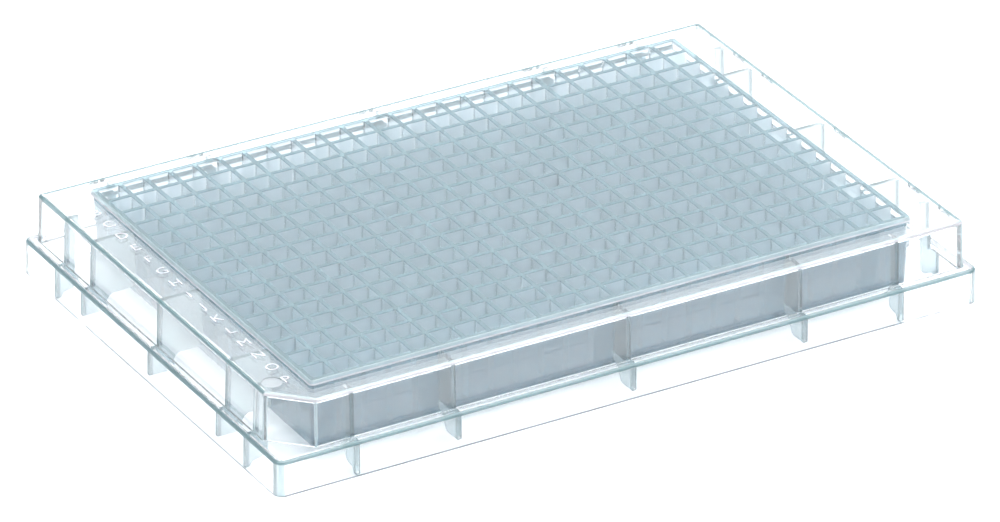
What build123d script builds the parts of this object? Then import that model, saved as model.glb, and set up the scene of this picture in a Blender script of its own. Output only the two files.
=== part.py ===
"""384-well flat-bottom microplate, one clear polystyrene moulding.

Frame: origin at the centre of the footprint on the table, +X along the columns (column 1 at -X),
+Y towards row A, +Z up. Millimetres.
"""
import os
from math import atan, degrees, radians, tan

from build123d import *

# ---- well field ----
columns = 24
rows = 16
well_pitch = 4.5              # centre to centre, both ways
well_wall_top = 0.8           # wall between neighbouring wells at their mouths
well_wall_floor = 1.2         # the same wall at the well floors
well_depth = 10.9
well_floor_thickness = 1.0

# ---- rim standing above the deck, and the block hanging under it ----
rim_height = 0.75             # well mouths above the deck
rim_border = 0.5              # rim face outside the last half pitch
block_inset = 0.1             # block foot inside the last half pitch
block_corner_radius = 0.5
block_draft = 2.0             # degrees

# ---- skirt ----
end_border = 9.88             # well field to footprint edge, short ends
side_border = 6.74            # well field to footprint edge, long sides
deck_height = 14.35
deck_thickness = 1.0
wall_thickness = 1.0
flange_height = 6.1
ledge_thickness = 0.6
flange_corner_radius = 1.7
flange_draft = 1.0            # degrees
wall_inset = 1.75             # upper wall behind the footprint edge, at the ledge
wall_corner_radius = 0.9
wall_draft = 1.9              # degrees
deck_edge_radius = 0.5
ledge_edge_radius = 0.5
cavity_corner_radius = 0.2    # at least, inside the skirt
key_chamfer = 6.1             # 45 degree cut on the upper wall at well P1

# ---- ribs, all on the lines of well walls ----
rib_thickness = 0.8
end_rib_lines = (-5, 0, 5)    # well pitches from the middle: ribs that reach the block
side_rib_lines = (-7, 0, 7)
end_fin_lines = (-7, 7)       # short fins on the skirt only
side_fin_lines = (-11, 11)
rib_foot = 1.2                # underside of ribs and fins above the table
rib_foot_reach = 4.4          # rib foot in from the footprint edge before it slopes up
rib_slope = 62.0              # degrees from the table
rib_arch_rise = 0.8           # rib underside at the block, above the block's own
rib_corner_radius = 0.6
fin_reach = 4.2               # foot of a short fin in from the footprint edge
fin_draft = 2.0               # degrees, the fin widens towards the deck
fin_corner_radius = 0.8
fin_tip_gap = 0.15            # rounded fin tip above the table
fin_tip_width = 0.9
fin_tip_radius = 0.4

# ---- gate mark on the deck by well P1 ----
gate_diameter = 3.3
gate_depth = 0.15
gate_end_gap = 1.05           # disc edge to the end face of the deck
gate_key_gap = 1.85           # disc edge to the key face

# ---- worked out ----
field_length = columns * well_pitch
field_width = rows * well_pitch
footprint_length = field_length + 2 * end_border
footprint_width = field_width + 2 * side_border
rim_top = deck_height + rim_height
block_bottom = rim_top - well_depth - well_floor_thickness
deck_under = deck_height - deck_thickness
ledge_under = flange_height - ledge_thickness


def wall_face(z):
    """Outer face of the upper wall behind the footprint edge at height z."""
    return wall_inset + (z - flange_height) * tan(radians(wall_draft))


def flange_face(z):
    """Outer face of the flange behind the footprint edge at height z."""
    return z * tan(radians(flange_draft))


def drafted(face, z0, z1, draft):
    """Prism from z0 to z1 on a face drawn at z = 0, drawing in with height by the draft angle."""
    return extrude(Pos(0, 0, z0) * face, amount=z1 - z0, taper=draft)


def flange_outline(inset):
    return RectangleRounded(footprint_length - 2 * inset, footprint_width - 2 * inset,
                            max(flange_corner_radius - inset, cavity_corner_radius))


def key_cut(inset):
    """Leg of the P1 corner cut on an outline drawn that far behind the footprint edge."""
    return key_chamfer - (2 - 2 ** 0.5) * (inset - wall_inset)


def wall_outline(inset, radius):
    """Rounded rectangle with its P1 corner cut at 45 degrees."""
    x = footprint_length / 2 - inset
    y = footprint_width / 2 - inset
    key = key_cut(inset)
    outline = make_face(Polyline((-x + key, -y), (x, -y), (x, y), (-x, y), (-x, -y + key), close=True))
    square = [v for v in outline.vertices() if not (v.X < 0 and v.Y < 0)]
    return fillet(square, radius)


def top_edges(solid):
    return solid.faces().sort_by(Axis.Z)[-1].edges()


# ---- skirt: flange, ledge, upper wall and deck ----
flange = drafted(flange_outline(0), 0, flange_height, flange_draft)
flange = fillet(top_edges(flange), ledge_edge_radius)
upper = drafted(wall_outline(wall_inset, wall_corner_radius),
                flange_height, deck_height, wall_draft)
upper = fillet(top_edges(upper), deck_edge_radius)

inner_inset = wall_face(ledge_under) + wall_thickness
inner_radius = max(wall_corner_radius - wall_thickness, cavity_corner_radius)
flange_cavity = drafted(flange_outline(wall_thickness), 0, ledge_under, flange_draft)
upper_cavity = drafted(wall_outline(inner_inset, inner_radius), ledge_under, deck_under, wall_draft)
skirt = flange + upper - flange_cavity - upper_cavity

# ---- well block: drafted body under the deck, straight rim above it ----
deck_middle = deck_height - deck_thickness / 2
block = drafted(RectangleRounded(field_length - 2 * block_inset, field_width - 2 * block_inset,
                                 block_corner_radius),
                block_bottom, deck_middle, -block_draft)
rim = drafted(RectangleRounded(field_length + 2 * rim_border, field_width + 2 * rim_border,
                               block_corner_radius),
              deck_middle, rim_top, 0)

# ---- ribs: drawn as (distance in from the footprint edge, height), then set round the skirt ----
ledge_middle = flange_height - ledge_thickness / 2
half_wall = wall_thickness / 2
skirt_line = [(wall_face(deck_middle) + half_wall, deck_middle),
              (wall_face(ledge_middle) + half_wall, ledge_middle),
              (flange_face(ledge_middle) + half_wall, ledge_middle)]


def rib(border):
    """Rib from the skirt to the block: flat foot, a slope, then level up to the block."""
    arch = block_bottom + rib_arch_rise
    block_end = border + (block_inset + well_wall_top / 2) / 2
    slope_end = rib_foot_reach + (arch - rib_foot) / tan(radians(rib_slope))
    level_end = slope_end + block_end
    face = make_face(Polyline((level_end, deck_middle), *skirt_line,
                              (flange_face(rib_foot) + half_wall, rib_foot),
                              (rib_foot_reach, rib_foot), (slope_end, arch),
                              (level_end, arch), close=True))
    bends = face.vertices().filter_by(lambda v: rib_foot_reach - 1e-6 < v.X < level_end - 1e-6)
    face = fillet(bends, min(rib_corner_radius, (arch - rib_foot) / 2))
    return face & Pos(block_end / 2, deck_middle / 2) * Rectangle(block_end, deck_middle)


def fin():
    """Short fin on the skirt, with a rounded tip that runs down the flange almost to the table."""
    tip_side = flange_face(rib_foot) + wall_thickness + fin_tip_width
    head_reach = fin_reach + (deck_middle - rib_foot) * tan(radians(fin_draft))
    face = make_face(Polyline((head_reach, deck_middle), *skirt_line,
                              (flange_face(rib_foot) + half_wall, fin_tip_gap),
                              (tip_side, fin_tip_gap), (tip_side, rib_foot),
                              (fin_reach, rib_foot), close=True))
    corner = face.vertices().filter_by(lambda v: abs(v.X - fin_reach) < 1e-6 and v.Y < deck_under)
    face = fillet(corner, fin_corner_radius)
    tip = face.vertices().filter_by(lambda v: abs(v.X - tip_side) < 1e-6)
    return fillet(tip, fin_tip_radius)


def around(face, lines, border_axis):
    """The rib face made solid at each line, on both opposite sides of the plate."""
    solid = extrude(Plane.XZ * face, amount=rib_thickness / 2, both=True)
    if border_axis == "x":
        near = [Pos(-footprint_length / 2, k * well_pitch, 0) * solid for k in lines]
    else:
        near = [Pos(k * well_pitch, -footprint_width / 2, 0) * Rot(0, 0, 90) * solid for k in lines]
    return near + [Rot(0, 0, 180) * s for s in near]


ribs = (around(rib(end_border), end_rib_lines, "x") + around(rib(side_border), side_rib_lines, "y")
        + around(fin(), end_fin_lines, "x") + around(fin(), side_fin_lines, "y"))

# ---- wells: drafted square pockets, run out through the rim ----
mouth = well_pitch - well_wall_top
floor = well_pitch - well_wall_floor
run_out = 1.0
pocket = drafted(Rectangle(floor, floor), 0, well_depth + run_out,
                 -degrees(atan((mouth - floor) / 2 / well_depth)))
wells = [Pos(0, 0, rim_top - well_depth) * place * pocket
         for place in GridLocations(well_pitch, well_pitch, columns, rows)]

# ---- gate mark: shallow disc, set off from the end face and the key face ----
deck_inset = wall_face(deck_height)
deck_x = footprint_length / 2 - deck_inset
deck_y = footprint_width / 2 - deck_inset
gate_x = -deck_x + gate_diameter / 2 + gate_end_gap
gate_y = 2 ** 0.5 * (gate_diameter / 2 + gate_key_gap) - gate_x - deck_x - deck_y + key_cut(deck_inset)
gate = Pos(gate_x, gate_y, deck_height) * Cylinder(gate_diameter / 2, 2 * gate_depth)

plate = skirt + block + rim + ribs - gate
plate = plate - wells

os.makedirs("parts", exist_ok=True)
export_step(plate, "parts/well_plate.step")
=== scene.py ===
"""Looks of a clear 384-well microplate: one polystyrene moulding on a plain white floor.

Metres, in the CAD frame: origin at the centre of the footprint, +X along the columns, +Y to row A.
"""
from math import cos, pi, radians, sin, tan

import bmesh
import bpy
from mathutils import Matrix, Vector


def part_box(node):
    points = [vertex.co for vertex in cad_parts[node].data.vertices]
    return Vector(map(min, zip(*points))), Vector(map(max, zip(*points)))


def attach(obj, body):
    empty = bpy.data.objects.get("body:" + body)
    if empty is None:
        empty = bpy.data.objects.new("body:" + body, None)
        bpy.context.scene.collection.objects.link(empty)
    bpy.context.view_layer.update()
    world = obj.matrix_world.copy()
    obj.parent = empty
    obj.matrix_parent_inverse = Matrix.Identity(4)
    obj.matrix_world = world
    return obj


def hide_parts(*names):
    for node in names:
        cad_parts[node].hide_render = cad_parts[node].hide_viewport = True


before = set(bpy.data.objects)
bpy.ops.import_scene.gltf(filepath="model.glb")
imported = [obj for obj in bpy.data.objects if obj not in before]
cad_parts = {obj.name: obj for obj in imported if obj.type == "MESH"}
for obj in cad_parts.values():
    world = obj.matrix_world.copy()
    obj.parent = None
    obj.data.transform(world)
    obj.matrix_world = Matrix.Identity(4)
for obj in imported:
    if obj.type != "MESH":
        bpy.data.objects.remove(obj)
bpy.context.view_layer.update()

MM = 0.001

# ---- overall size, from the frame ----
plate_low, plate_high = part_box("well_plate")
footprint_length = plate_high.x - plate_low.x
footprint_width = plate_high.y - plate_low.y
rim_top = plate_high.z

# ---- well field ----
columns = 24
rows = 16
well_pitch = 4.5 * MM
well_wall_top = 0.8 * MM
well_wall_floor = 1.2 * MM
well_depth = 10.9 * MM
well_floor_thickness = 1.0 * MM
well_corner_radius = 0.05 * MM
well_foot_radius = 0.1 * MM
well_mouth_radius = 0.05 * MM

# ---- rim and block ----
rim_height = 0.75 * MM
rim_border = 0.5 * MM
rim_edge_radius = 0.15 * MM
rim_root_radius = 0.15 * MM
block_inset = 0.1 * MM
block_corner_radius = 0.5 * MM
block_draft = radians(2.0)
block_foot_radius = 0.3 * MM

# ---- skirt ----
deck_thickness = 1.0 * MM
wall_thickness = 1.0 * MM
flange_height = 6.1 * MM
ledge_thickness = 0.6 * MM
flange_corner_radius = 1.7 * MM
flange_draft = radians(1.0)
wall_inset = 1.75 * MM
wall_corner_radius = 0.9 * MM
key_corner_radius = 0.5 * MM
wall_draft = radians(1.9)
deck_edge_radius = 0.5 * MM
deck_edge_band = 0.5 * MM                   # strip of the deck inside its rounded edge
ledge_edge_radius = 0.5 * MM
ledge_root_radius = 0.2 * MM
foot_edge_radius = 0.1 * MM
cavity_corner_radius = 0.3 * MM
key_chamfer = 6.1 * MM

# ---- ribs and short fins ----
rib_thickness = 0.8 * MM
rib_edge_radius = 0.1 * MM
rib_root_strip = 0.6 * MM                   # strip of the rib along the wall painted darker, a painted shade
rib_foot = 1.2 * MM
rib_foot_reach = 4.4 * MM
rib_slope = radians(62.0)
rib_arch_rise = 0.8 * MM
rib_corner_radius = 0.6 * MM
fin_reach = 4.2 * MM
fin_draft = radians(2.0)
fin_corner_radius = 0.8 * MM
fin_tip_gap = 0.15 * MM
fin_tip_width = 0.9 * MM
fin_tip_radius = 0.4 * MM
ribs_on_a_side, fins_on_a_side = 3, 2
end_rib_step, side_rib_step = 5, 7          # well pitches between the full ribs of a side
end_fin_step, side_fin_step = 14, 22        # and between the short fins

# ---- gate mark and row letters ----
gate_diameter = 3.3 * MM
gate_depth = 0.15 * MM
gate_end_gap = 1.05 * MM
gate_key_gap = 1.85 * MM
gate_sides = 48
letter_height = 2.0 * MM
letter_relief = 0.06 * MM
letter_line = 7.05 * MM                     # letter centres in from the footprint edge
letter_shift = 0.8 * MM                     # towards row A from the middle of the row
capital_share = 0.7                         # height of a capital in a line of type

# ---- worked out ----
field_length = columns * well_pitch
field_width = rows * well_pitch
end_border = (footprint_length - field_length) / 2
side_border = (footprint_width - field_width) / 2
deck_height = rim_top - rim_height
deck_under = deck_height - deck_thickness
deck_middle = deck_height - deck_thickness / 2
block_bottom = rim_top - well_depth - well_floor_thickness
ledge_under = flange_height - ledge_thickness
ledge_middle = flange_height - ledge_thickness / 2
half_wall = wall_thickness / 2

ARC = 4                                     # steps in a quarter round
WELL_ARC = 2                                # and in one of a well, because there are 384
EDGE_ARC = 2                                # and in the rounded edge of a rib
PAST = 1.0 * MM                             # how far a cutter runs on past the face it leaves by
SLIVER = 0.001 * MM
no_length = 1e-9                            # a length that counts as none
merge_distance = 1e-7
corner_spare = 10 * SLIVER                  # by which a cavity's upright corners are rounder than its top
least_radius = 0.02 * MM                    # left on an inner corner that its neighbour uses up
sharp_turn = radians(35)                    # edges turning more than this stay crisp

# ---- the finishes, in the order of the material slots, and where they start and stop; the dark and mid teal ones are painted shade, the pale pinkish one a painted highlight ----
CLEAR, WELL, BLOCK_SHADE, TEAL_SHADE, EDGE_SHADE, CORNER_SHADE, HIGHLIGHT, FROSTED = range(8)
# sides by which faces are picked for painted shade and painted highlight
FRONT, BACK, RIGHT = Vector((0, -1, 0)), Vector((0, 1, 0)), Vector((1, 0, 0))
least_turn = 0.1                            # part of its direction by which a face counts as turned a way
corner_width = 1.0 * MM                     # widest face that belongs to a rounded corner
bright_edge_share = 0.6                     # share of the front deck rounding painted as a bright line, a painted highlight


def wall_face(z):
    """Outer face of the upper wall behind the footprint edge at height z."""
    return wall_inset + (z - flange_height) * tan(wall_draft)


def flange_face(z):
    """Outer face of the flange behind the footprint edge at height z."""
    return z * tan(flange_draft)


# ======================================================================================
# Shapes
# ======================================================================================
def rounded(corners, radii, steps=ARC):
    """Closed outline through these corners, counter-clockwise, each rounded to its radius."""
    points = []
    count = len(corners)
    for i, corner in enumerate(corners):
        corner = Vector(corner)
        back = (Vector(corners[i - 1]) - corner).normalized()
        ahead = (Vector(corners[(i + 1) % count]) - corner).normalized()
        half = back.angle(ahead) / 2
        radius = radii[i]
        centre = corner + (back + ahead).normalized() * radius / sin(half)
        start = corner + back * radius / tan(half) - centre
        turn = pi - 2 * half
        sign = 1 if back.cross(ahead) < 0 else -1
        for k in range(steps + 1):
            a = sign * turn * k / steps
            points.append(centre + Vector((start.x * cos(a) - start.y * sin(a),
                                           start.x * sin(a) + start.y * cos(a))))
    return points


def rectangle(half_length, half_width, radius, steps=ARC):
    x, y = half_length, half_width
    return rounded([(-x, -y), (x, -y), (x, y), (-x, y)], [radius] * 4, steps)


def key_cut(inset):
    """Leg of the P1 corner cut on an outline drawn that far behind the footprint edge."""
    return key_chamfer - (2 - 2 ** 0.5) * (inset - wall_inset)


def wall_outline(inset, radius, key_radius):
    """Rounded rectangle with its P1 corner cut at 45 degrees."""
    x = footprint_length / 2 - inset
    y = footprint_width / 2 - inset
    key = key_cut(inset)
    return rounded([(-x + key, -y), (x, -y), (x, y), (-x, y), (-x, -y + key)],
                   [key_radius, radius, radius, radius, key_radius])


def flange_outline(inset):
    return rectangle(footprint_length / 2 - inset, footprint_width / 2 - inset,
                     max(flange_corner_radius - inset, cavity_corner_radius), 2 * ARC)


def loft(rings):
    """Closed bmesh through rings of (height, outline), lowest first, capped at both ends."""
    bm = bmesh.new()
    loops = [[bm.verts.new((p.x, p.y, z)) for p in outline] for z, outline in rings]
    bm.faces.new(loops[0][::-1])
    bm.faces.new(loops[-1])
    for low, high in zip(loops, loops[1:]):
        for i in range(len(low)):
            j = (i + 1) % len(low)
            bm.faces.new((low[i], low[j], high[j], high[i]))
    return bm


def finish_between(bm, finish, low, high):
    """Give this finish to the faces whose middle lies between two heights."""
    for face in bm.faces:
        if low < face.calc_center_median().z < high:
            face.material_index = finish
    return bm


def finish_facing(bm, finish, way, low, high):
    """The same, for only the faces turned this way."""
    bm.normal_update()
    for face in bm.faces:
        if face.normal.dot(way) > least_turn and low < face.calc_center_median().z < high:
            face.material_index = finish
    return bm


def finish_corners(bm):
    """Give the corner finish, a painted shade, to the narrow upright faces round the corners of a shell."""
    bm.normal_update()
    for face in bm.faces:
        width = max((a.co - b.co).xy.length for a in face.verts for b in face.verts)
        if min(abs(face.normal.x), abs(face.normal.y)) > least_turn and width < corner_width:
            face.material_index = CORNER_SHADE
    return bm


def quarter(radius, steps=ARC):
    """(in, up) offsets along a quarter round, from the side face to the end face."""
    return [(radius * (1 - cos(a)), radius * sin(a))
            for a in (pi / 2 * k / steps for k in range(steps + 1))]


def prism(outline, thickness, edge=0.0):
    """Outline in (reach, height) made solid about the plane y = 0, its edges rounded."""
    bm = bmesh.new()
    near = [bm.verts.new((p.x, -thickness / 2, p.y)) for p in outline]
    far = [bm.verts.new((p.x, thickness / 2, p.y)) for p in outline]
    bm.faces.new(near)
    bm.faces.new(far[::-1])
    for i in range(len(near)):
        j = (i + 1) % len(near)
        bm.faces.new((near[j], near[i], far[i], far[j]))
    if edge:
        caps = [e for e in bm.edges if abs(e.verts[0].co.y - e.verts[1].co.y) < no_length]
        bmesh.ops.bevel(bm, geom=caps, offset=edge, segments=EDGE_ARC, profile=0.5, affect="EDGES")
    return bm


def finish_root(bm):
    """Give the rib finish, a dark teal painted shade, to a strip of the rib along the upper wall and down
    the flange, and the corner finish, a lighter painted shade, to the rest of its foot."""
    reach = wall_thickness + rib_root_strip
    for point, away in ((Vector((0, 0, ledge_under)), Vector((0, 0, 1))),
                        (Vector((reach, 0, 0)), Vector((cos(flange_draft), 0, -sin(flange_draft)))),
                        (Vector((reach + wall_face(flange_height), 0, flange_height)),
                         Vector((cos(wall_draft), 0, -sin(wall_draft))))):
        bmesh.ops.bisect_plane(bm, geom=bm.verts[:] + bm.edges[:] + bm.faces[:], plane_co=point,
                               plane_no=away)
    for face in bm.faces:
        middle = face.calc_center_median()
        skin = wall_face(middle.z) if middle.z > ledge_under else flange_face(middle.z)
        if middle.x < skin + reach:
            face.material_index = TEAL_SHADE
        elif middle.z < ledge_under:
            face.material_index = CORNER_SHADE
    return bm


def mesh_object(name, bm, materials=(), finish=None):
    bmesh.ops.recalc_face_normals(bm, faces=bm.faces)
    if finish is not None:
        for face in bm.faces:
            face.material_index = finish
    mesh = bpy.data.meshes.new(name)
    bm.to_mesh(mesh)
    bm.free()
    for material in materials:
        mesh.materials.append(material)
    obj = bpy.data.objects.new(name, mesh)
    bpy.context.scene.collection.objects.link(obj)
    return obj


def flange_solid():
    rings = [(0, flange_outline(foot_edge_radius)),
             (foot_edge_radius, flange_outline(flange_face(foot_edge_radius)))]
    base = flange_height - ledge_edge_radius
    rings += [(base + up, flange_outline(flange_face(base) + inward))
              for inward, up in quarter(ledge_edge_radius)]
    solid = finish_corners(loft(rings))
    # painted highlight on the rounding of the foot, painted shade on the rounding of the ledge
    finish_between(solid, HIGHLIGHT, -PAST, foot_edge_radius)
    return finish_between(solid, EDGE_SHADE, base, flange_height - SLIVER)


def upper_solid():
    """Upper wall and deck, flared out a little where it meets the ledge."""
    foot = [(flange_height + ledge_root_radius - up,
             wall_outline(wall_inset - inward, wall_corner_radius + inward, key_corner_radius + inward))
            for inward, up in quarter(ledge_root_radius)][::-1]
    rings = [(ledge_middle, foot[0][1])] + foot
    base = deck_height - deck_edge_radius
    shrink = wall_face(base) - wall_inset
    rings += [(base + up, wall_outline(wall_face(base) + inward,
                                       max(wall_corner_radius - shrink - inward, least_radius),
                                       max(key_corner_radius - shrink - inward, least_radius)))
              for inward, up in quarter(deck_edge_radius)]
    rings += [(deck_height, wall_outline(wall_face(base) + deck_edge_radius + deck_edge_band,
                                         least_radius, least_radius))]
    solid = finish_corners(loft(rings))
    # painted shade on the rounded deck edge, lighter on the front and key corner, with a painted highlight
    # along the lower part of the front rounding
    finish_between(solid, EDGE_SHADE, base, deck_height - SLIVER)
    finish_facing(solid, CORNER_SHADE, FRONT, base, deck_height - SLIVER)
    finish_facing(solid, HIGHLIGHT, FRONT, base, base + bright_edge_share * deck_edge_radius)
    # painted shade on strips of the deck top along the back and right edges
    far_x = footprint_length / 2 - wall_face(deck_height) - 2 * deck_edge_radius
    far_y = footprint_width / 2 - wall_face(deck_height) - 2 * deck_edge_radius
    for face in solid.faces:
        middle = face.calc_center_median()
        if middle.z > deck_height - SLIVER and (middle.x > far_x or middle.y > far_y):
            face.material_index = EDGE_SHADE
    return solid


def flange_cavity():
    radius = cavity_corner_radius
    base = ledge_under - radius
    rings = [(-PAST, flange_outline(wall_thickness + flange_face(-PAST)))]
    rings += [(base + up, flange_outline(wall_thickness + flange_face(base) + inward))
              for inward, up in quarter(radius)]
    return finish_corners(loft(rings))


def upper_cavity():
    radius = cavity_corner_radius
    base = deck_under - radius

    def outline(z, inward):
        return wall_outline(wall_face(z) + wall_thickness + inward, radius + corner_spare,
                            radius + corner_spare)
    rings = [(ledge_under - PAST, outline(ledge_under, 0))]
    rings += [(base + up, outline(base, inward)) for inward, up in quarter(radius)]
    return finish_corners(loft(rings))


def block_solid():
    def outline(z, inward):
        out = (z - block_bottom) * tan(block_draft) - block_inset - inward
        return rectangle(field_length / 2 + out, field_width / 2 + out, block_corner_radius)
    rings = [(block_bottom + block_foot_radius - up, outline(block_bottom, inward))
             for inward, up in quarter(block_foot_radius)][::-1]
    rings += [(deck_middle, outline(deck_middle, 0))]
    # painted shade: the block's front and left faces are dark; its back and right faces and its bottom get
    # the paler well finish
    solid = finish_between(loft(rings), BLOCK_SHADE, block_bottom, deck_height)
    for way in (BACK, RIGHT):
        finish_facing(solid, WELL, way, block_bottom, deck_height)
    return finish_between(solid, WELL, -PAST, block_bottom + SLIVER)


def rim_solid():
    def outline(inward):
        out = rim_border - inward
        return rectangle(field_length / 2 + out, field_width / 2 + out, block_corner_radius - inward)
    root = [(deck_height + rim_root_radius - up, outline(-inward))
            for inward, up in quarter(rim_root_radius)][::-1]
    base = rim_top - rim_edge_radius
    rings = [(deck_middle, root[0][1])] + root
    rings += [(base + up, outline(inward)) for inward, up in quarter(rim_edge_radius)]
    # painted shade on the rim's sides and, darker, on its top; a painted highlight on its root
    solid = finish_between(loft(rings), CORNER_SHADE, -PAST, rim_top - SLIVER)
    finish_between(solid, HIGHLIGHT, deck_height, deck_height + rim_root_radius)
    return finish_between(solid, TEAL_SHADE, rim_top - SLIVER, rim_top + PAST)


def skirt_line():
    """Middle of the skirt wall from the deck down to the ledge, as (reach, height)."""
    return [(wall_face(deck_middle) + half_wall, deck_middle),
            (wall_face(ledge_middle) + half_wall, ledge_middle),
            (flange_face(ledge_middle) + half_wall, ledge_middle)]


def rib_solid(border):
    """Rib from the skirt to the block: flat foot, a slope, then level up to the block."""
    arch = block_bottom + rib_arch_rise
    block_end = border + (block_inset + well_wall_top / 2) / 2
    slope_end = rib_foot_reach + (arch - rib_foot) / tan(rib_slope)
    corners = [(block_end, deck_middle), *skirt_line(), (flange_face(rib_foot) + half_wall, rib_foot),
               (rib_foot_reach, rib_foot), (slope_end, arch), (block_end, arch)]
    radii = [SLIVER] * 5 + [rib_corner_radius] * 2 + [SLIVER]
    return finish_root(prism(outline_of(corners, radii), rib_thickness, rib_edge_radius))


def fin_solid():
    """Short fin on the skirt, with a rounded tip that runs down the flange almost to the table."""
    tip_side = flange_face(rib_foot) + wall_thickness + fin_tip_width
    head_reach = fin_reach + (deck_middle - rib_foot) * tan(fin_draft)
    corners = [(head_reach, deck_middle), *skirt_line(),
               (flange_face(rib_foot) + half_wall, fin_tip_gap), (tip_side, fin_tip_gap),
               (tip_side, rib_foot), (fin_reach, rib_foot)]
    radii = [SLIVER] * 5 + [fin_tip_radius] * 2 + [fin_corner_radius]
    return finish_root(prism(outline_of(corners, radii), rib_thickness, rib_edge_radius))


def outline_of(corners, radii):
    """rounded(), with corners of no real radius kept as one point."""
    points = rounded(corners, radii)
    kept = []
    for i, radius in enumerate(radii):
        run = points[i * (ARC + 1):(i + 1) * (ARC + 1)]
        kept += run if radius > SLIVER else [Vector(corners[i])]
    return kept


# ======================================================================================
# Geometry Nodes: what repeats
# ======================================================================================
def node_tree(name, inputs):
    """New geometry tree with named inputs, as (tree, group input, group output)."""
    tree = bpy.data.node_groups.new(name, "GeometryNodeTree")
    tree.interface.new_socket("Geometry", in_out="INPUT", socket_type="NodeSocketGeometry")
    for label, kind in inputs:
        tree.interface.new_socket(label, in_out="INPUT", socket_type="NodeSocket" + kind)
    tree.interface.new_socket("Geometry", in_out="OUTPUT", socket_type="NodeSocketGeometry")
    return tree, tree.nodes.new("NodeGroupInput"), tree.nodes.new("NodeGroupOutput")


def add(tree, kind, inputs=(), **settings):
    """New node with its settings and inputs: each input is a value, or a socket to link from."""
    node = tree.nodes.new(kind)
    for key, value in settings.items():
        setattr(node, key, value)
    for key, value in dict(inputs).items():
        if isinstance(value, bpy.types.NodeSocket):
            tree.links.new(value, node.inputs[key])
        else:
            node.inputs[key].default_value = value
    return node


def finish_tree(tree, geometry, group_in, group_out):
    """Realize Instances, then Set Material on every face still in the first slot, then the output."""
    real = add(tree, "GeometryNodeRealizeInstances", {"Geometry": geometry})
    slot = tree.nodes.new("GeometryNodeInputMaterialIndex")
    bare = add(tree, "ShaderNodeMath", {0: slot.outputs[0], 1: CLEAR + 0.5}, operation="LESS_THAN")
    painted = add(tree, "GeometryNodeSetMaterial",
                  {"Geometry": real.outputs["Geometry"], "Selection": bare.outputs[0],
                   "Material": group_in.outputs["Material"]})
    tree.links.new(painted.outputs["Geometry"], group_out.inputs["Geometry"])


def grid_tree():
    """Copies of the geometry on a grid of points about the origin."""
    tree, g_in, g_out = node_tree("well_grid", [("Columns", "Int"), ("Rows", "Int"), ("Pitch", "Float"),
                                                ("Height", "Float"), ("Material", "Material")])
    spans = {}
    for label in ("Columns", "Rows"):
        gaps = add(tree, "ShaderNodeMath", {0: g_in.outputs[label], 1: 1.0}, operation="SUBTRACT")
        spans[label] = add(tree, "ShaderNodeMath", {0: gaps.outputs[0], 1: g_in.outputs["Pitch"]},
                           operation="MULTIPLY")
    grid = add(tree, "GeometryNodeMeshGrid", {
        "Size X": spans["Columns"].outputs[0], "Size Y": spans["Rows"].outputs[0],
        "Vertices X": g_in.outputs["Columns"], "Vertices Y": g_in.outputs["Rows"]})
    lift = add(tree, "ShaderNodeCombineXYZ", {"Z": g_in.outputs["Height"]})
    placed = add(tree, "GeometryNodeTransform", {"Geometry": grid.outputs["Mesh"],
                                                 "Translation": lift.outputs[0]})
    wells = add(tree, "GeometryNodeInstanceOnPoints", {"Points": placed.outputs[0],
                                                       "Instance": g_in.outputs["Geometry"]})
    finish_tree(tree, wells.outputs["Instances"], g_in, g_out)
    return tree


def row_tree():
    """Copies of a rib along one side of the plate, and the same set turned to the opposite side."""
    tree, g_in, g_out = node_tree("rib_row", [("Count", "Int"), ("Step", "Float"), ("Edge", "Float"),
                                              ("Turn", "Float"), ("Material", "Material")])
    gaps = add(tree, "ShaderNodeMath", {0: g_in.outputs["Count"], 1: 1.0}, operation="SUBTRACT")
    span = add(tree, "ShaderNodeMath", {0: gaps.outputs[0], 1: g_in.outputs["Step"]}, operation="MULTIPLY")
    first_y = add(tree, "ShaderNodeMath", {0: span.outputs[0], 1: -0.5}, operation="MULTIPLY")
    edge_x = add(tree, "ShaderNodeMath", {0: g_in.outputs["Edge"], 1: -1.0}, operation="MULTIPLY")
    first = add(tree, "ShaderNodeCombineXYZ", {"X": edge_x.outputs[0], "Y": first_y.outputs[0]})
    step = add(tree, "ShaderNodeCombineXYZ", {"Y": g_in.outputs["Step"]})
    line = add(tree, "GeometryNodeMeshLine", {"Count": g_in.outputs["Count"],
                                              "Start Location": first.outputs[0],
                                              "Offset": step.outputs[0]})
    near = add(tree, "GeometryNodeInstanceOnPoints", {"Points": line.outputs["Mesh"],
                                                      "Instance": g_in.outputs["Geometry"]})
    far = add(tree, "GeometryNodeTransform", {"Geometry": near.outputs["Instances"],
                                              "Rotation": (0, 0, pi)})
    both = tree.nodes.new("GeometryNodeJoinGeometry")
    tree.links.new(near.outputs["Instances"], both.inputs[0])
    tree.links.new(far.outputs["Geometry"], both.inputs[0])
    turn = add(tree, "ShaderNodeCombineXYZ", {"Z": g_in.outputs["Turn"]})
    turned = add(tree, "GeometryNodeTransform", {"Geometry": both.outputs[0], "Rotation": turn.outputs[0]})
    finish_tree(tree, turned.outputs["Geometry"], g_in, g_out)
    return tree


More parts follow.
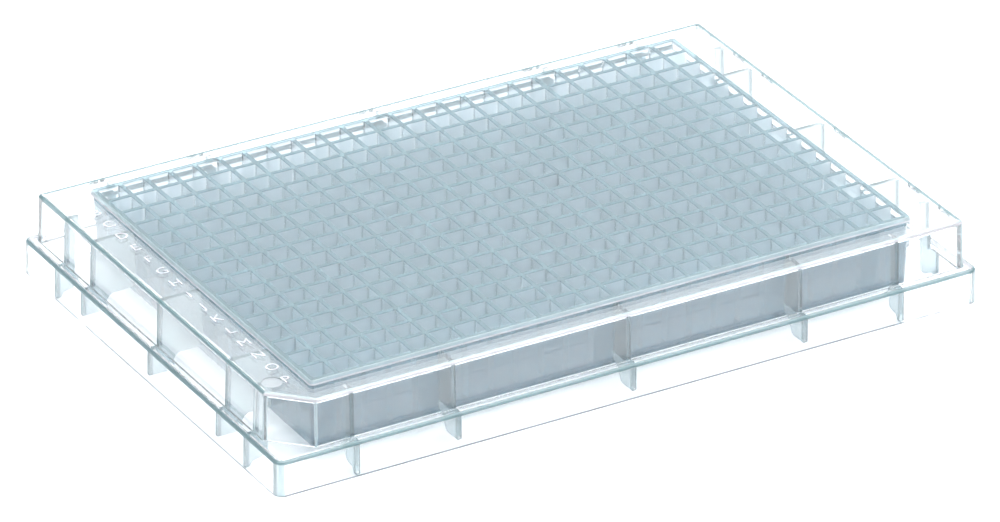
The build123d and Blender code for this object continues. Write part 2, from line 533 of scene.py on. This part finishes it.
def letter_tree():
    """A column of raised letters, one to a line, each a closed solid."""
    tree, g_in, g_out = node_tree("row_letters", [
        ("Letters", "String"), ("Size", "Float"), ("Line Spacing", "Float"), ("Place", "Vector"),
        ("Thickness", "Float"), ("Material", "Material")])
    text = add(tree, "GeometryNodeStringToCurves", {
        "String": g_in.outputs["Letters"], "Size": g_in.outputs["Size"],
        "Line Spacing": g_in.outputs["Line Spacing"]}, align_x="CENTER", align_y="MIDDLE")
    curves = add(tree, "GeometryNodeRealizeInstances", {"Geometry": text.outputs["Curve Instances"]})
    face = add(tree, "GeometryNodeFillCurve", {"Curve": curves.outputs[0]}, mode="NGONS")
    under = add(tree, "GeometryNodeFlipFaces", {"Mesh": face.outputs[0]})
    up = add(tree, "ShaderNodeCombineXYZ", {"Z": 1.0})
    body = add(tree, "GeometryNodeExtrudeMesh", {
        "Mesh": face.outputs[0], "Offset": up.outputs[0],
        "Offset Scale": g_in.outputs["Thickness"], "Individual": False}, mode="FACES")
    both = tree.nodes.new("GeometryNodeJoinGeometry")
    tree.links.new(body.outputs["Mesh"], both.inputs[0])
    tree.links.new(under.outputs["Mesh"], both.inputs[0])
    closed = add(tree, "GeometryNodeMergeByDistance", {"Geometry": both.outputs[0],
                                                       "Distance": merge_distance})
    placed = add(tree, "GeometryNodeTransform", {"Geometry": closed.outputs[0],
                                                 "Translation": g_in.outputs["Place"]})
    finish_tree(tree, placed.outputs["Geometry"], g_in, g_out)
    return tree


def evaluated(obj):
    """The object's mesh with its modifiers worked in, and the modifiers removed."""
    bpy.context.view_layer.update()
    graph = bpy.context.evaluated_depsgraph_get()
    mesh = bpy.data.meshes.new_from_object(obj.evaluated_get(graph), preserve_all_data_layers=True,
                                           depsgraph=graph)
    obj.modifiers.clear()
    obj.data = mesh
    return obj


def grown(obj, tree, **values):
    """obj run through a geometry tree, its named inputs set first."""
    modifier = obj.modifiers.new(tree.name, "NODES")
    modifier.node_group = tree
    for item in tree.interface.items_tree:
        if item.in_out == "INPUT" and item.name in values:
            modifier[item.identifier] = values[item.name]
    return evaluated(obj)


def combined(obj, operation, *tools):
    """obj with each tool joined to it or cut from it; the tools are removed."""
    for tool in tools:
        modifier = obj.modifiers.new(tool.name, "BOOLEAN")
        modifier.operation = operation
        modifier.solver = "MANIFOLD"
        modifier.object = tool
    evaluated(obj)
    for tool in tools:
        bpy.data.objects.remove(tool)
    return obj


# ======================================================================================
# Materials
# ======================================================================================
polystyrene_ior = 1.59
moulded_roughness, frost_roughness = 0.03, 0.35
polish_range = (0.7, 1.3)                   # roughness wanders between these shares of its value
line_stretch = 0.02                         # draw lines run up and down, so noise is drawn out this way
line_detail, wave_detail, grain_detail = 1.0, 2.0, 3.0


def shader_group(name, inputs, outputs):
    """New shader tree with named float inputs and outputs, as (tree, group input, group output)."""
    tree = bpy.data.node_groups.new(name, "ShaderNodeTree")
    for label in inputs:
        tree.interface.new_socket(label, in_out="INPUT", socket_type="NodeSocketFloat")
    for label in outputs:
        tree.interface.new_socket(label, in_out="OUTPUT", socket_type="NodeSocketFloat")
    return tree, tree.nodes.new("NodeGroupInput"), tree.nodes.new("NodeGroupOutput")


def noise_height(tree, group_in, group_out, place, detail):
    """Noise of the group's Spacing, made a height of the group's Depth."""
    scale = add(tree, "ShaderNodeMath", {0: 1.0, 1: group_in.outputs["Spacing"]}, operation="DIVIDE")
    noise = add(tree, "ShaderNodeTexNoise", {"Vector": place, "Scale": scale.outputs[0], "Detail": detail})
    tree.links.new(noise.outputs["Fac"], group_out.inputs["Amount"])
    return add(tree, "ShaderNodeMath", {0: noise.outputs["Fac"], 1: group_in.outputs["Depth"]},
               operation="MULTIPLY").outputs[0]


def draw_lines_group():
    """Faint lines down upright faces, where the moulding slid out of its tool."""
    tree, g_in, g_out = shader_group("draw_lines", ["Spacing", "Depth"], ["Height", "Amount"])
    place = add(tree, "ShaderNodeTexCoord")
    stretched = add(tree, "ShaderNodeVectorMath", {0: place.outputs["Object"], 1: (1.0, 1.0, line_stretch)},
                    operation="MULTIPLY")
    height = noise_height(tree, g_in, g_out, stretched.outputs[0], line_detail)
    around = add(tree, "ShaderNodeSeparateXYZ", {0: place.outputs["Normal"]})
    level = add(tree, "ShaderNodeMath", {0: around.outputs["Z"]}, operation="ABSOLUTE")
    upright = add(tree, "ShaderNodeMath", {0: 1.0, 1: level.outputs[0]}, operation="SUBTRACT")
    masked = add(tree, "ShaderNodeMath", {0: height, 1: upright.outputs[0]}, operation="MULTIPLY")
    tree.links.new(masked.outputs[0], g_out.inputs["Height"])
    return tree


def flow_marks_group():
    """Slow waves left where the plastic flowed in."""
    tree, g_in, g_out = shader_group("flow_marks", ["Spacing", "Depth"], ["Height", "Amount"])
    place = add(tree, "ShaderNodeTexCoord")
    height = noise_height(tree, g_in, g_out, place.outputs["Object"], wave_detail)
    tree.links.new(height, g_out.inputs["Height"])
    return tree


def frost_grain_group():
    """Fine even grain of a sparked tool face."""
    tree, g_in, g_out = shader_group("frost_grain", ["Spacing", "Depth"], ["Height", "Amount"])
    place = add(tree, "ShaderNodeTexCoord")
    height = noise_height(tree, g_in, g_out, place.outputs["Object"], grain_detail)
    tree.links.new(height, g_out.inputs["Height"])
    return tree


def principled(name, values):
    """Material with one Principled shader, and these plain values on its sockets."""
    material = bpy.data.materials.new(name)
    material.use_nodes = True
    shader = material.node_tree.nodes["Principled BSDF"]
    for key, value in values.items():
        shader.inputs[key].default_value = value
    return material, shader


def polystyrene(name, clearness, tints, roughness, marks):
    """Clear polystyrene. clearness is how much of the light goes through rather than scattering,
    tints the two colours it wanders between, marks a list of (group, spacing, depth)."""
    material, shader = principled(name, {"Metallic": 0.0, "Transmission Weight": clearness,
                                        "IOR": polystyrene_ior})
    tree = material.node_tree
    height = None
    for group, spacing, depth in marks:
        node = add(tree, "ShaderNodeGroup", node_tree=group)
        node.inputs["Spacing"].default_value = spacing
        node.inputs["Depth"].default_value = depth
        amount = node.outputs["Amount"]
        if height is None:
            height = node.outputs["Height"]
        else:
            height = add(tree, "ShaderNodeMath", {0: height, 1: node.outputs["Height"]},
                         operation="ADD").outputs[0]
    tint = add(tree, "ShaderNodeMix", {"Factor": amount}, data_type="RGBA")
    tint.inputs[6].default_value, tint.inputs[7].default_value = tints
    tree.links.new(tint.outputs[2], shader.inputs["Base Color"])
    polish = add(tree, "ShaderNodeMapRange", {"Value": amount, "To Min": polish_range[0] * roughness,
                                              "To Max": polish_range[1] * roughness})
    tree.links.new(polish.outputs["Result"], shader.inputs["Roughness"])
    bump = add(tree, "ShaderNodeBump", {"Height": height, "Distance": 1.0})
    tree.links.new(bump.outputs["Normal"], shader.inputs["Normal"])
    return material


# clearness and the two tints of each finish; the dark and mid teal tints are painted shade, the pale
# pinkish ones a painted highlight
moulded_clearness = 0.96
clear_tints = ((0.96, 0.985, 0.99, 1.0), (0.985, 0.975, 0.995, 1.0))
well_clearness = 0.72
well_tints = ((0.90, 0.963, 0.98, 1.0), (0.935, 0.963, 0.99, 1.0))
# painted shade on the block's front and left faces and round the well mouths
block_clearness = 0.6
block_shade_tints = ((0.03, 0.125, 0.175, 1.0), (0.03, 0.105, 0.165, 1.0))
# painted shade on the rib roots, the side ribs and the rim top
rib_clearness = 0.62
teal_shade_tints = ((0.13, 0.25, 0.27, 1.0), (0.155, 0.24, 0.285, 1.0))
# painted shade on the ledge rounding, the back, left and right deck edges and the far deck strips
edge_shade_clearness = 0.35
edge_shade_tints = ((0.12, 0.22, 0.225, 1.0), (0.15, 0.21, 0.235, 1.0))
# lighter painted shade on the upright corners, the rim sides, the front deck rounding and the end ribs
corner_clearness = 0.6
corner_shade_tints = ((0.54, 0.68, 0.69, 1.0), (0.60, 0.67, 0.71, 1.0))
# painted highlight on the lower front deck rounding, the rim root and the foot; the raised letters take it
# too
highlight_clearness = 0.6
highlight_tints = ((0.80, 0.79, 0.82, 1.0), (0.88, 0.80, 0.84, 1.0))
frost_clearness = 0.6
frost_tints = ((0.50, 0.56, 0.58, 1.0), (0.60, 0.60, 0.63, 1.0))

# spacing and depth of the marks on each finish
skirt_lines, skirt_waves = (0.5 * MM, 0.002 * MM), (5.0 * MM, 0.01 * MM)
well_lines, well_waves = (0.4 * MM, 0.006 * MM), (4.0 * MM, 0.02 * MM)
block_lines, block_waves = (0.5 * MM, 0.004 * MM), (4.0 * MM, 0.02 * MM)
edge_lines, edge_waves = (0.5 * MM, 0.003 * MM), (4.0 * MM, 0.01 * MM)
gate_grain = (0.05 * MM, 0.01 * MM)


def moulded_polystyrene(lines, waves):
    return polystyrene("moulded_polystyrene", moulded_clearness, clear_tints, moulded_roughness,
                       [(lines, *skirt_lines), (waves, *skirt_waves)])


def well_polystyrene(lines, waves):
    return polystyrene("well_polystyrene", well_clearness, well_tints, moulded_roughness,
                       [(lines, *well_lines), (waves, *well_waves)])


# painted shade on the block's front and left faces and round the well mouths
def block_shade_polystyrene(lines, waves):
    return polystyrene("block_shade_polystyrene", block_clearness, block_shade_tints, moulded_roughness,
                       [(waves, *block_waves), (lines, *block_lines)])


# painted shade on the rib roots, the side ribs and the rim top
def teal_shade_polystyrene(lines, waves):
    return polystyrene("teal_shade_polystyrene", rib_clearness, teal_shade_tints, moulded_roughness,
                       [(lines, *edge_lines), (waves, *edge_waves)])


# painted shade on the ledge rounding, the back, left and right deck edges and the far deck strips
def edge_shade_polystyrene(lines, waves):
    return polystyrene("edge_shade_polystyrene", edge_shade_clearness, edge_shade_tints, moulded_roughness,
                       [(lines, *edge_lines), (waves, *edge_waves)])


# lighter painted shade on the upright corners, the rim sides, the front deck rounding and the end ribs
def corner_shade_polystyrene(lines, waves):
    return polystyrene("corner_shade_polystyrene", corner_clearness, corner_shade_tints, moulded_roughness,
                       [(lines, *edge_lines), (waves, *edge_waves)])


# painted highlight on the lower front deck rounding, the rim root and the foot; the raised letters take it
# too
def pale_highlight_polystyrene(lines, waves):
    return polystyrene("pale_highlight_polystyrene", highlight_clearness, highlight_tints, moulded_roughness,
                       [(lines, *edge_lines), (waves, *edge_waves)])


def frosted_polystyrene(grain):
    return polystyrene("frosted_polystyrene", frost_clearness, frost_tints, frost_roughness,
                       [(grain, *gate_grain)])


def plate_finishes():
    """The finishes of the one moulding, in slot order."""
    lines, waves = draw_lines_group(), flow_marks_group()
    return [finish(lines, waves) for finish in (
        moulded_polystyrene, well_polystyrene, block_shade_polystyrene, teal_shade_polystyrene,
        edge_shade_polystyrene, corner_shade_polystyrene, pale_highlight_polystyrene)] + [
        frosted_polystyrene(frost_grain_group())]


def white_floor():
    material, _ = principled("white_floor", {"Base Color": floor_white, "Roughness": floor_roughness})
    return material


# ======================================================================================
# The plate
# ======================================================================================
def pocket():
    """Well cutter: drafted square with rounded corners, a rounded foot and a flared mouth."""
    mouth = (well_pitch - well_wall_top) / 2
    floor = (well_pitch - well_wall_floor) / 2

    def outline(z, inward):
        half = floor + (mouth - floor) * z / well_depth - inward
        return rectangle(half, half, max(well_corner_radius - inward, least_radius), WELL_ARC)
    rings = [(well_foot_radius - up, outline(0, inward))
             for inward, up in quarter(well_foot_radius, WELL_ARC)][::-1]
    rings += [(well_depth - well_mouth_radius + up, outline(well_depth, -inward))
              for inward, up in quarter(well_mouth_radius, WELL_ARC)]
    rings += [(well_depth + PAST, outline(well_depth, -well_mouth_radius))]
    # painted shade on the flared mouth: a dark line round each well
    return finish_between(loft(rings), BLOCK_SHADE, well_depth - well_mouth_radius, well_depth)


def gate_cutter():
    deck_inset = wall_face(deck_height)
    deck_x = footprint_length / 2 - deck_inset
    deck_y = footprint_width / 2 - deck_inset
    x = -deck_x + gate_diameter / 2 + gate_end_gap
    y = 2 ** 0.5 * (gate_diameter / 2 + gate_key_gap) - x - deck_x - deck_y + key_cut(deck_inset)
    bm = bmesh.new()
    bmesh.ops.create_cone(bm, cap_ends=True, segments=gate_sides, radius1=gate_diameter / 2,
                          radius2=gate_diameter / 2, depth=2 * gate_depth,
                          matrix=Matrix.Translation((x, y, deck_height)))
    return bm


def well_plate():
    finishes = plate_finishes()
    plate = mesh_object("well_plate_body", flange_solid(), finishes)
    combined(plate, "UNION", mesh_object("upper", upper_solid(), finishes))
    combined(plate, "DIFFERENCE", mesh_object("flange_cavity", flange_cavity(), finishes),
             mesh_object("upper_cavity", upper_cavity(), finishes))

    rows_of_ribs = row_tree()
    half_length, half_width = footprint_length / 2, footprint_width / 2
    ribs = []
    # the end ribs and fins get the lighter corner shade, the side ones the darker teal shade: painted shade
    # either way
    for name, solid, count, step, edge, turn, finish in (
            ("end_ribs", rib_solid(end_border), ribs_on_a_side, end_rib_step, half_length, 0.0, CORNER_SHADE),
            ("side_ribs", rib_solid(side_border), ribs_on_a_side, side_rib_step, half_width, pi / 2, TEAL_SHADE),
            ("end_fins", fin_solid(), fins_on_a_side, end_fin_step, half_length, 0.0, CORNER_SHADE),
            ("side_fins", fin_solid(), fins_on_a_side, side_fin_step, half_width, pi / 2, TEAL_SHADE)):
        ribs.append(grown(mesh_object(name, solid, finishes), rows_of_ribs, Count=count,
                          Step=step * well_pitch, Edge=edge, Turn=turn, Material=finishes[finish]))

    type_size = letter_height / capital_share
    # the raised letters take the pale finish that is a painted highlight elsewhere
    letters = grown(mesh_object("row_letters", bmesh.new(), finishes), letter_tree(),
                    Letters="\n".join(chr(ord("A") + k) for k in range(rows)),
                    Size=type_size, **{"Line Spacing": well_pitch / type_size},
                    Place=(-footprint_length / 2 + letter_line, letter_shift, deck_height - letter_relief),
                    Thickness=2 * letter_relief, Material=finishes[HIGHLIGHT])
    combined(plate, "UNION", mesh_object("block", block_solid(), finishes),
             mesh_object("rim", rim_solid(), finishes), *ribs, letters)

    wells = grown(mesh_object("wells", pocket(), finishes), grid_tree(), Columns=columns, Rows=rows,
                  Pitch=well_pitch, Height=rim_top - well_depth, Material=finishes[WELL])
    combined(plate, "DIFFERENCE", wells, mesh_object("gate", gate_cutter(), finishes, FROSTED))

    while plate.data.materials[-1] is None:         # the joins leave an empty slot behind
        plate.data.materials.pop()
    plate.data.shade_smooth()
    plate.data.set_sharp_from_angle(angle=sharp_turn)
    weighted = plate.modifiers.new("flat_faces_stay_flat", "WEIGHTED_NORMAL")
    weighted.keep_sharp = True
    return evaluated(plate)


# ======================================================================================
# Floor, light and camera
# ======================================================================================
floor_gap = 0.02 * MM                       # keeps the table off the foot of the plate
floor_reach = 6.0
floor_white = (0.94, 0.94, 0.94, 1.0)
floor_roughness = 0.9
# the dome's brightness by how far up it is looked at
dome = ((0.0, (0.9, 0.95, 1.0, 1)), (0.3, (0.63, 0.70, 0.75, 1)), (0.7, (0.68, 0.75, 0.79, 1)),
        (1.0, (1.6, 1.6, 1.6, 1)))
# each soft light's place, width and power in watts
overhead_light = ((0.2, -0.1, 1.6), 2.4, 56.0)
backdrop_light = ((0.66, 1.14, 0.80), 1.0, 4.5)
light_bounces = 24                          # enough for the many walls a ray goes through


def floor():
    bm = bmesh.new()
    bmesh.ops.create_grid(bm, x_segments=1, y_segments=1, size=floor_reach)
    bmesh.ops.translate(bm, verts=bm.verts, vec=(0, 0, -floor_gap))
    obj = mesh_object("floor", bm, [white_floor()])
    return obj


def surroundings():
    """Soft studio: a pale dome, dimmer half way up."""
    world = bpy.data.worlds.new("studio")
    world.use_nodes = True
    tree = world.node_tree
    background = tree.nodes["Background"]
    direction = tree.nodes.new("ShaderNodeTexCoord")
    parts = tree.nodes.new("ShaderNodeSeparateXYZ")
    ramp = tree.nodes.new("ShaderNodeValToRGB")
    tree.links.new(direction.outputs["Generated"], parts.inputs[0])
    tree.links.new(parts.outputs["Z"], ramp.inputs["Fac"])
    tree.links.new(ramp.outputs["Color"], background.inputs["Color"])
    stops = ramp.color_ramp.elements
    for height, _ in dome[1:-1]:
        stops.new(height)
    for stop, (height, colour) in zip(stops, dome):
        stop.position, stop.color = height, colour
    bpy.context.scene.world = world


def soft_light(name, place, size, power):
    data = bpy.data.lights.new(name, "AREA")
    data.shape = "SQUARE"
    data.size = size
    data.energy = power
    obj = bpy.data.objects.new(name, data)
    bpy.context.scene.collection.objects.link(obj)
    obj.location = place
    obj.rotation_mode = "QUATERNION"
    obj.rotation_quaternion = (-Vector(place)).to_track_quat("-Z", "Y")
    return obj


camera_azimuth = radians(-30.118)
camera_elevation = radians(28.177)
camera_roll = radians(0.167)
camera_distance = 1.3537
camera_lens, camera_sensor = 305.7, 36.0    # mm
camera_clip = (0.05, 50.0)
camera_target = Vector((-2.163, -3.964, 7.0)) * MM


def camera():
    data = bpy.data.cameras.new("camera")
    data.lens = camera_lens
    data.sensor_width = camera_sensor
    data.clip_start, data.clip_end = camera_clip
    obj = bpy.data.objects.new("camera", data)
    bpy.context.scene.collection.objects.link(obj)
    back = Vector((sin(camera_azimuth) * cos(camera_elevation),
                   -cos(camera_azimuth) * cos(camera_elevation), sin(camera_elevation)))
    obj.location = camera_target + back * camera_distance
    turn = (-back).to_track_quat("-Z", "Y").to_matrix()
    obj.rotation_euler = (turn @ Matrix.Rotation(camera_roll, 3, "Z")).to_euler()
    bpy.context.scene.camera = obj


plate = well_plate()
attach(plate, "root")
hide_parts("well_plate")

floor()
surroundings()
soft_light("overhead", *overhead_light)
soft_light("backdrop", *backdrop_light)
camera()

scene = bpy.context.scene
scene.view_settings.view_transform = "Standard"
scene.cycles.max_bounces = light_bounces
scene.cycles.transmission_bounces = light_bounces
scene.cycles.glossy_bounces = light_bounces
scene.cycles.blur_glossy = 0.0
